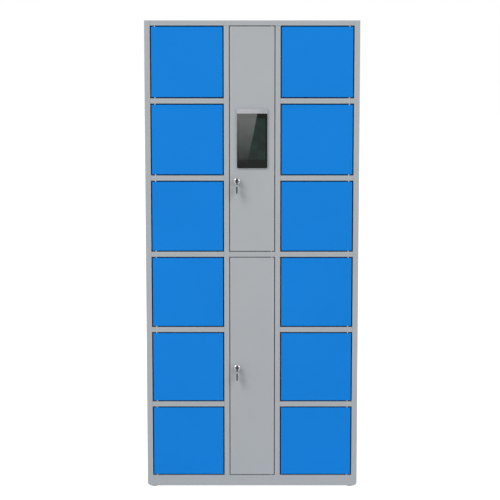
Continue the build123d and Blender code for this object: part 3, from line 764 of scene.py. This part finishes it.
def makeKey(name, shape, shoulder, out, up, body, node):
    # out points from the shoulder to the bow's end, up is the key's width
    out, up = Vector(out), Vector(up)
    thin = up.cross(out)
    half = shape["bowThickness"] / 2
    middle = shoulder + out * shape["bowLength"] / 2
    outline = roundedOutline(shape["bowWidth"], shape["bowLength"], (shape["bowCorner"],) * 4, 8)
    bow = slab(name + "_bow", outline, middle - thin * half, up, out, 2 * half, keyPlastic)
    rounded(bow, shape["bowEdge"], 3)
    holeAt = shoulder + out * (shape["bowLength"] - shape["holeFromEnd"])
    rim, bevel, past = shape["holeRadius"], shape["holeBevel"], half + 0.01 * mm
    hole = [(0, -2 * half), (rim + bevel, -past), (rim, -half + bevel)]
    hole += [(rim, half - bevel), (rim + bevel, past), (0, 2 * half)]
    cut(bow, turned("hole", hole, holeAt, thin, keyPlastic, 24))
    panelWide, panelLong, panelAt = shape["panelShare"]
    corners = (shape["panelCorner"],) * 4
    panel = roundedOutline(shape["bowWidth"] * panelWide, shape["bowLength"] * panelLong, corners, 4)
    for side in (-1, 1):
        start = shoulder + out * shape["bowLength"] * panelAt + thin * (side * half)
        depth = shape["panelDepth"]
        cut(bow, slab("panel", panel, start - thin * depth, up, out, 2 * depth, keyPlastic))
    width, deep = shape["bladeWidth"] / 2, shape["bladeThickness"] / 2
    length = shape["bladeLength"]
    edge = [(width, 0)]
    for at, depth in shape["cuts"]:
        reach, flat = depth + 0.3, 0.4
        for along, inset in ((at - reach, 0), (at - flat, depth), (at + flat, depth), (at + reach, 0)):
            edge.append((width - inset * mm, -along * mm))
    tip = shape["tip"]
    end = [(width, -length + tip), (width - tip, -length), (tip - width, -length), (-width, -length + tip)]
    outline = edge + end + [(-width, 0)]
    blade = slab(name + "_blade", outline, shoulder - thin * deep, up, out, 2 * deep, bladeSteel)
    rounded(blade, shape["bladeEdge"])
    for side, at in shape["grooves"]:
        # each groove runs out past the tip
        groove = roundedOutline(shape["grooveWidth"], length * 1.1, (shape["grooveCorner"],) * 4, 2)
        start = shoulder - out * length * 0.56 + up * at + thin * (side * deep)
        depth = shape["grooveDepth"]
        cut(blade, slab("groove", groove, start - thin * depth, up, out, 2 * depth, bladeSteel))
    key = joined(name, (bow, blade))
    return seat(key, body, "key_plastic", node)


def makeRing(name, shape, node, body):
    # A split ring: almost two turns of flat wire lying side by side
    low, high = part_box(node)
    middle = (low + high) / 2
    wire = (high.y - low.y) / 2
    radius = (high.x - low.x) / 2 - wire
    depth = wire * shape["depth"]
    values = {
        "Turns": shape["turns"],
        "Radius": radius,
        "Length": depth,
        "Ridge": wire * shape["ridge"],
        "Place": middle + Vector((0, depth / 2, 0)),
        "Tilt": (math.pi / 2, 0, 0),
        "Finish": chrome,
    }
    ring = grown(name, bpy.data.meshes.new(name), threadTree, values)
    return seat(ring, body, "lock_chrome", node)


def makeBarrel(name, shape, centre, body, node):
    # Chromed face and body, with the thread cut between its flats
    face, bore, outer = shape["faceThickness"], shape["bore"], shape["faceRadius"]
    step, groove, rim = shape["step"], shape["groove"], shape["rim"]
    flat, steep = shape["dome"]
    inner = bore + 3 * step
    stepOut = (outer - rim - inner) / shape["rings"]
    flank = [(inner, face)]
    for ring in range(shape["rings"]):
        slope = math.radians(flat + (steep - flat) * ring / (shape["rings"] - 1))
        radius, height = flank[-1]
        flank.append((radius + stepOut, height - stepOut * math.tan(slope)))
    edge = flank[-1][1]
    profile = [(bore, 0), (outer - rim, 0), (outer, rim), (outer, edge - rim)] + flank[::-1]
    profile += [(bore + 2 * step, face - groove), (bore + step, face - groove), (bore, face - 2 * groove)]
    collar = turned(name + "_face", profile, centre, (0, -1, 0), chrome, 64, loop=True)
    length, coreRadius = shape["length"], shape["coreRadius"]
    core = [(bore, 0), (bore, -length), (coreRadius, -length), (coreRadius, 0)]
    tube = turned(name + "_core", core, centre, (0, -1, 0), chrome, 48, loop=True)
    turns = (length - shape["threadFrom"]) / shape["threadPitch"] - shape["threadShort"]
    values = {
        "Turns": turns,
        "Radius": shape["threadRadius"],
        "Length": turns * shape["threadPitch"],
        "Ridge": shape["threadPitch"] * shape["threadRidge"],
        "Place": centre + Vector((0, length - shape["threadEnd"], 0)),
        "Tilt": (math.pi / 2, 0, 0),
        "Finish": chrome,
    }
    thread = grown(name + "_thread", bpy.data.meshes.new("thread"), threadTree, values)
    keep = shape["flats"] / 2
    for part in (tube, thread):
        for side in (-1, 1):
            shell = bmesh.new()
            shell.from_mesh(part.data)
            geometry = shell.verts[:] + shell.edges[:] + shell.faces[:]
            plane = centre + Vector((side * keep, 0, 0))
            sliced = bmesh.ops.bisect_plane(
                shell, geom=geometry, plane_co=plane, plane_no=(side, 0, 0), clear_outer=True
            )
            border = [item for item in sliced["geom_cut"] if isinstance(item, bmesh.types.BMEdge)]
            bmesh.ops.holes_fill(shell, edges=border, sides=0)
            shell.to_mesh(part.data)
            shell.free()
    barrel = joined(name, (collar, tube, thread))
    return seat(barrel, body, "lock_chrome", node)


for which in ("upper", "lower"):
    centre = jointAt[which + "_lock_turn"]
    door = which + "_service_door"
    makeBarrel(which + "_barrel", barrelShape, centre, door, which + "_lock_barrel")
    key, spare = which + "_key", which + "_spare_key"
    shoulder = Vector((centre.x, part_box(key)[0].y + keyShape["bowLength"], centre.z))
    makeKey(which + "_door_key", keyShape, shoulder, (0, -1, 0), (0, 0, 1), which + "_lock", key)
    spareLow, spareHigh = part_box(spare)
    middleY = (spareLow.y + spareHigh.y) / 2
    shoulder = Vector((centre.x, middleY, spareHigh.z - keyShape["bowLength"]))
    makeKey(which + "_hanging_key", keyShape, shoulder, (0, 0, 1), (0, 1, 0), spare, spare)
    makeRing(which + "_split_ring", ringShape, which + "_key_ring", which + "_lock")
print("locks and keys made")


# Spot welds

welds = {
    "pitch": 62.0 * mm,
    "radius": 2.6 * mm,
    "height": 0.12 * mm,
    "sunk": 0.01 * mm,
    "underShelf": 6 * mm,  # below the top of each shelf
    "fromShelfEnd": 20 * mm,
    "inPartition": 7 * mm,
    "fromBackEnd": 30 * mm,
}


def weldMarks(name, lines, body, finish, slotName, seed):
    spots, edges = [], []
    for start, end, facing in lines:
        edges.append((len(spots), len(spots) + 1))
        spots += [(start, facing), (end, facing)]
    values = {
        "Pitch": welds["pitch"],
        "Mark radius": welds["radius"],
        "Mark height": welds["height"],
        "Seed": seed,
        "Finish": finish,
    }
    marks = grown(name, pointsFacing(name, spots, edges), weldTree, values)
    return seat(marks, body, slotName)


backLow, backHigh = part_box("back_panel")
rearFace = backHigh.y - welds["sunk"]
shelfLow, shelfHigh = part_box("right_shelves")
rowPitch = (jointAt["door_r1_hinge"] - jointAt["door_r2_hinge"]).z
rearLines = []
nearX, farX = shelfLow.x + welds["fromShelfEnd"], shelfHigh.x - welds["fromShelfEnd"]
for row in range(5):
    z = shelfHigh.z - row * rowPitch - welds["underShelf"]
    for side in (-1, 1):
        start, end = (Vector((side * x, rearFace, z)) for x in (nearX, farX))
        rearLines.append((start, end, (0, 1, 0)))
for side in (-1, 1):
    x = side * (shelfLow.x - welds["inPartition"])
    foot = Vector((x, rearFace, backLow.z + welds["fromBackEnd"]))
    top = Vector((x, rearFace, backHigh.z - welds["fromBackEnd"]))
    rearLines.append((foot, top, (0, 1, 0)))
weldMarks("back_spot_welds", rearLines, "cabinet", paintGrey, "cabinet_paint", 3)

stiffener = {"flangeMiddle": 19.0 * mm, "short": 24.0 * mm, "face": 2.0 * mm, "pinStandsOut": 0.5 * mm}
for side, sign in (("l", -1), ("r", 1)):
    for number in range(1, 7):
        door = f"door_{side}{number}"
        doorLow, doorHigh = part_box(door)
        near, far = sorted((abs(doorLow.x), abs(doorHigh.x)))
        middle = sign * (near + stiffener["pinStandsOut"] + far) / 2
        lines = []
        y = doorLow.y + stiffener["face"] - welds["sunk"]
        for offset in (-stiffener["flangeMiddle"], stiffener["flangeMiddle"]):
            top = Vector((middle + offset, y, doorHigh.z - stiffener["short"]))
            foot = Vector((top.x, y, doorLow.z + stiffener["short"]))
            lines.append((foot, top, (0, 1, 0)))
        weldMarks(door + "_spot_welds", lines, door, paintBlue, "door_paint", number)
print("spot welds made")


# Screws

screws = {
    "radius": 3.2 * mm,
    "height": 1.75 * mm,
    "recess": 0.9 * mm,
    "sunk": 0.3 * mm,
    "apart": 48.0 * mm,  # the two on each lock
    "fromCaseEdge": 9 * mm,
}


def screwHeads(name, spots, scale=1.0):
    values = {
        "Head radius": screws["radius"] * scale,
        "Head height": screws["height"] * scale,
        "Recess width": screws["recess"] * scale,
        "Finish": zinc,
    }
    return grown(name, pointsFacing(name, spots), screwTree, values)


screwSpots = []
screwLow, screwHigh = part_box("lock_screws")
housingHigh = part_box("lock_housings")[1]
for side in (-1, 1):
    for row in range(6):
        # Two heads on each lock, on the face that its compartment shows
        for z in (screwHigh.z - screws["radius"], screwHigh.z - screws["radius"] - screws["apart"]):
            spot = Vector((side * housingHigh.x, (screwLow.y + screwHigh.y) / 2, z - row * rowPitch))
            screwSpots.append((spot, (side, 0, 0)))
seat(screwHeads("lock_case_screws", screwSpots), "cabinet", "zinc_plate", "lock_screws")

moduleLow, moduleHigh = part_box("screen_module")
moduleSpots = []
for x in (moduleLow.x + screws["fromCaseEdge"], moduleHigh.x - screws["fromCaseEdge"]):
    for z in (moduleLow.z + screws["fromCaseEdge"], moduleHigh.z - screws["fromCaseEdge"]):
        moduleSpots.append((Vector((x, moduleHigh.y - screws["sunk"], z)), (0, 1, 0)))
seat(screwHeads("display_case_screws", moduleSpots, 0.72), "upper_service_door", "zinc_plate")
print("screws made")


# Controller board and power supply

# Each block's width, height, depth, taper and rounding
boardShape = {
    "sheet": 1.6 * mm,
    "spacer": 8.0 * mm,
    "spacerInset": 8.0 * mm,
    "spacerRadius": 3.0 * mm,
    "relay": (19.0 * mm, 15.0 * mm, 15.5 * mm, 0.6 * mm, 0.5 * mm),
    "relayPitch": 27.0 * mm,
    "relayRows": 6,
    "chip": (24.0 * mm, 24.0 * mm, 2.4 * mm, 0.4 * mm, 0.2 * mm),
    "leg": (1.1 * mm, 2.4 * mm, 0.8 * mm, 0.1 * mm, 0.1 * mm),
    "legOut": 0.6 * mm,
    "legs": 9,  # along each side of a chip
    "way": (9.6 * mm, 11.6 * mm, 11.0 * mm, 0.5 * mm, 0.5 * mm),
    "wayFromEdge": 0.5 * mm,
    "wayPitch": 10.0 * mm,
    "ways": 11,
}
supplyShape = {
    "way": (8.6 * mm, 10.0 * mm, 9.0 * mm, 0.4 * mm, 0.4 * mm),
    "wayPitch": 9.0 * mm,
    "ways": 9,
    "stripUp": 9.0 * mm,
    "stripBack": 9.0 * mm,
}


def blocksOn(name, spots, size, finish):
    width, height, depth, taper, rounding = size
    values = {"Width": width, "Height": height, "Depth": depth, "Taper": taper, "Finish": finish}
    return rounded(grown(name, pointsFacing(name, spots), blockTree, values), rounding)


def fromMiddle(count):
    # Evenly spaced places, one apart, with their middle at 0
    return [step - (count - 1) / 2 for step in range(count)]


def makeBoard(shape):
    low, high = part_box("controller_board")
    middle = (low + high) / 2
    face = high.y - shape["spacer"] - shape["sheet"]
    ahead = (0, -1, 0)

    def at(x, z, depth=0.0):
        return Vector((middle.x + x, face - depth, middle.z + z)), ahead

    width, height = high.x - low.x, high.z - low.z
    outline = roundedOutline(width, height, (shape["spacerRadius"],) * 4)
    origin = Vector((middle.x, face + shape["sheet"], middle.z))
    parts = [slab("board", outline, origin, (1, 0, 0), (0, 0, 1), shape["sheet"], circuit)]
    relays, legs, ways, heads, corners = [], [], [], [], []
    relayPitch, inset = shape["relayPitch"], shape["spacerInset"]
    for side in (-1, 1):
        for row in fromMiddle(shape["relayRows"]):
            relays.append(at(side * relayPitch, row * relayPitch))
        wayZ = side * (height / 2 - shape["wayFromEdge"] - shape["way"][1] / 2)
        for way in fromMiddle(shape["ways"]):
            x = way * shape["wayPitch"]
            ways.append(at(x, wayZ))
            heads.append(at(x, wayZ, shape["way"][2] - screws["sunk"]))
        for end in (-1, 1):
            corners.append(at(side * (width / 2 - inset), end * (height / 2 - inset)))
    chips = [at(0, side * relayPitch) for side in (-1, 1)]
    chipWide = shape["chip"][0]
    reach = chipWide / 2 + shape["legOut"]
    for centre, facing in chips:
        for leg in fromMiddle(shape["legs"]):
            along = leg * chipWide / (shape["legs"] + 1)
            for side in (-1, 1):
                legs.append((centre + Vector((along, 0, side * reach)), facing))
    parts.append(blocksOn("relays", relays, shape["relay"], relayPlastic))
    parts.append(blocksOn("chips", chips, shape["chip"], chipPlastic))
    parts.append(blocksOn("legs", legs, shape["leg"], zinc))
    parts.append(blocksOn("ways", ways, shape["way"], terminalPlastic))
    parts.append(screwHeads("way screws", heads, 0.8))
    parts.append(screwHeads("board screws", corners, 0.95))
    radius, length = shape["spacerRadius"], shape["spacer"]
    for centre, facing in corners:
        spacer = [(0, 0), (radius, 0), (radius, length), (0, length)]
        start = centre + Vector((0, shape["sheet"], 0))
        parts.append(turned("spacer", spacer, start, (0, 1, 0), nickel, 12))
    return seat(joined("lock_controller", parts), "cabinet", "circuit_board", "controller_board")


def makeSupplyTerminals(shape):
    # A strip of screw terminals on the ledge at the foot of the power supply
    low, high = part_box("power_supply")
    deep = shape["way"][2]
    ledge, z = low.y + deep + shape["stripBack"], low.z + shape["stripUp"]
    ways, heads = [], []
    for way in fromMiddle(shape["ways"]):
        x = (low.x + high.x) / 2 + way * shape["wayPitch"]
        ways.append((Vector((x, ledge, z)), (0, -1, 0)))
        heads.append((Vector((x, ledge - deep + screws["sunk"], z)), (0, -1, 0)))
    strip = blocksOn("ways", ways, shape["way"], chipPlastic)
    tops = screwHeads("way screws", heads, 0.9)
    return seat(joined("supply_terminals", (strip, tops)), "cabinet", "electronics_case")


makeBoard(boardShape)
makeSupplyTerminals(supplyShape)
print("electrics made")


# Feet

footShape = {
    "radius": 15.0 * mm,
    "show": 3.0 * mm,
    "lowerEdge": (1.2 * mm, 0.35 * mm),  # how far the rounded edge reaches, and its middle
    "upperEdge": 0.4 * mm,
    "studRadius": 2.75 * mm,
    "studTop": 16.8 * mm,
    "studEdge": 0.5 * mm,
    "threadFrom": 9.3 * mm,
    "threadShort": 0.2 * mm,  # below the stud's top
    "threadPitch": 1.0 * mm,
    "threadRidge": 0.3 * mm,
    "nutFlats": 10.0 * mm,
    "nutHeight": 5.0 * mm,
    "nutUp": 1.0 * mm,  # the sheet it stands on
    "nutEdge": 0.35 * mm,
}


def makeFoot(shape, origin):
    radius, show = shape["radius"], shape["show"]
    reach, mid = shape["lowerEdge"]
    pad = [(0, 0), (radius - reach, 0), (radius - mid, mid), (radius, reach)]
    pad += [(radius, show - shape["upperEdge"]), (radius - shape["upperEdge"], show), (0, show)]
    studRadius, studTop, studEdge = shape["studRadius"], shape["studTop"], shape["studEdge"]
    stud = [(0, show), (studRadius, show), (studRadius, studTop - studEdge)]
    stud += [(studRadius - studEdge, studTop), (0, studTop)]
    turns = (studTop - shape["threadFrom"] - shape["threadShort"]) / shape["threadPitch"]
    values = {
        "Turns": turns,
        "Radius": studRadius,
        "Length": turns * shape["threadPitch"],
        "Ridge": shape["threadRidge"],
        "Place": origin + Vector((0, 0, shape["threadFrom"])),
        "Tilt": (0, 0, 0),
        "Finish": zinc,
    }
    corner = shape["nutFlats"] / 2 / math.cos(math.pi / 6)
    angles = [math.radians(60 * step) for step in range(6)]
    hexagon = [(corner * math.cos(angle), corner * math.sin(angle)) for angle in angles]
    under = origin + Vector((0, 0, show + shape["nutUp"]))
    nut = slab("nut", hexagon, under, (1, 0, 0), (0, 1, 0), shape["nutHeight"], zinc)
    return [
        turned("pad", pad, origin, (0, 0, 1), footRubber, 40),
        turned("stud", stud, origin, (0, 0, 1), zinc, 24),
        grown("thread", bpy.data.meshes.new("thread"), threadTree, values),
        rounded(nut, shape["nutEdge"]),
    ]


def makeFeet(shape):
    low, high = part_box("feet")
    parts = []
    for sideX in (-1, 1):
        for sideY in (-1, 1):
            origin = Vector((sideX * (high.x - shape["radius"]), sideY * (high.y - shape["radius"]), 0))
            parts += makeFoot(shape, origin)
    return seat(joined("levelling_feet", parts), "cabinet", "rubber", "feet")


makeFeet(footShape)
print("feet made")


# Camera, lights and surroundings

view = {
    "lens": 111.55,
    "pitch": 7.076,
    "distance": 6.220,  # from the cabinet's front
    "height": 1.7528,
    "shift": -0.00433,
}
lamps = {
    "left": {"turn": -44, "rise": 33, "reach": 26.0, "size": 12.8, "power": 3040},
    "right": {"turn": 42, "rise": 20, "reach": 26.0, "size": 11.0, "power": 1560},
}
lampAim = 0.95  # height that the lamps point at
sky = {"strength": 0.42}
studioFloor = {"half": 40, "grey": 0.82, "roughness": 0.9, "glow": 0.68}
# Cards behind the camera, with an outline in x and z, and a fade from one height to another
cards = {
    "dark card": {
        "outline": ((-0.3, 0.6), (0.3, 0.6), (0.3, 1.6), (-0.3, 1.6)),
        "behind": 0.15,
        "colour": (0.76, 0.84, 0.8),
        "fade": (0.8, 1.5, 0.5, 0.22),
    },
    "soft box": {
        "outline": ((-0.3, 0.78), (-0.063, 0.78), (0.087, 1.52), (-0.3, 1.52)),
        "behind": 0.14,
        "colour": (1, 1, 0.98),
        "fade": (0.9, 1.3, 0.36, 3.15),
    },
}
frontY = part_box("top_panel")[0].y


def makeCamera(shape):
    data = bpy.data.cameras.new("camera")
    data.sensor_width = 36
    data.lens = shape["lens"]
    data.shift_x = shape["shift"]
    data.clip_end = 100
    camera = bpy.data.objects.new("camera", data)
    camera.location = (0, frontY - shape["distance"], shape["height"])
    camera.rotation_euler = (math.radians(90 - shape["pitch"]), 0, 0)
    scene.collection.objects.link(camera)
    scene.camera = camera


def makeLamp(name, lamp):
    data = bpy.data.lights.new(name, "AREA")
    data.shape = "DISK"
    data.size = lamp["size"]
    data.energy = lamp["power"]
    turn, rise = math.radians(lamp["turn"]), math.radians(lamp["rise"])
    way = Vector((math.sin(turn) * math.cos(rise), -math.cos(turn) * math.cos(rise), math.sin(rise)))
    light = bpy.data.objects.new(name, data)
    light.location = Vector((0, 0, lampAim)) + way * lamp["reach"]
    light.rotation_euler = (-way).to_track_quat("-Z", "Y").to_euler()
    scene.collection.objects.link(light)


def seenDirectly(tree):
    # 1 for the camera, mirrors and glass, 0 for light that falls on the object
    path = tree.nodes.new("ShaderNodeLightPath").outputs
    either = sums(tree, "MAXIMUM", path["Is Camera Ray"], path["Is Glossy Ray"])
    return sums(tree, "MAXIMUM", either, path["Is Transmission Ray"])


def makeSky(shape):
    world = bpy.data.worlds.new("studio")
    world.use_nodes = True
    tree = world.node_tree
    background = tree.nodes["Background"]
    background.inputs["Color"].default_value = (1, 1, 1, 1)
    strength = remap(tree, seenDirectly(tree), 0, 1, shape["strength"], 1)
    tree.links.new(strength, background.inputs["Strength"])
    scene.world = world


def makeFloor(look):
    material = bpy.data.materials.new("studio floor")
    material.use_nodes = True
    tree = material.node_tree
    shader = tree.nodes["Principled BSDF"]
    shader.inputs["Base Color"].default_value = (look["grey"], look["grey"], look["grey"], 1)
    shader.inputs["Roughness"].default_value = look["roughness"]
    shader.inputs["Specular IOR Level"].default_value = 0
    shader.inputs["Emission Color"].default_value = (1, 1, 1, 1)
    glow = remap(tree, seenDirectly(tree), 0, 1, 0, look["glow"])
    tree.links.new(glow, shader.inputs["Emission Strength"])
    half = look["half"]
    corners = [(-half, -half, 0), (half, -half, 0), (half, half, 0), (-half, half, 0)]
    floor = fromFaces("floor", corners, [[0, 1, 2, 3]], material)


def makeCard(name, look):
    # A studio card that only mirrors show
    material = bpy.data.materials.new(name)
    material.use_nodes = True
    tree = material.node_tree
    tree.nodes.remove(tree.nodes["Principled BSDF"])
    place = tree.nodes.new("ShaderNodeTexCoord").outputs["Object"]
    axes = tree.nodes.new("ShaderNodeSeparateXYZ")
    tree.links.new(place, axes.inputs[0])
    glow = tree.nodes.new("ShaderNodeEmission")
    glow.inputs["Color"].default_value = (*look["colour"], 1)
    low, high, weak, strong = look["fade"]
    tree.links.new(remap(tree, axes.outputs["Z"], low, high, weak, strong), glow.inputs["Strength"])
    clear = tree.nodes.new("ShaderNodeBsdfTransparent")
    path = tree.nodes.new("ShaderNodeLightPath").outputs
    mixed = tree.nodes.new("ShaderNodeMixShader")
    tree.links.new(path["Is Glossy Ray"], mixed.inputs[0])
    tree.links.new(clear.outputs[0], mixed.inputs[1])
    tree.links.new(glow.outputs[0], mixed.inputs[2])
    tree.links.new(mixed.outputs[0], tree.nodes["Material Output"].inputs["Surface"])
    y = frontY - view["distance"] - look["behind"]
    corners = [(x, y, z) for x, z in look["outline"]]
    card = fromFaces(name, corners, [list(range(len(corners)))], material)


makeCamera(view)
for name, lamp in lamps.items():
    makeLamp(name, lamp)
makeSky(sky)
makeFloor(studioFloor)
for name, card in cards.items():
    makeCard(name, card)
scene.view_settings.view_transform = "Standard"
print("studio made")
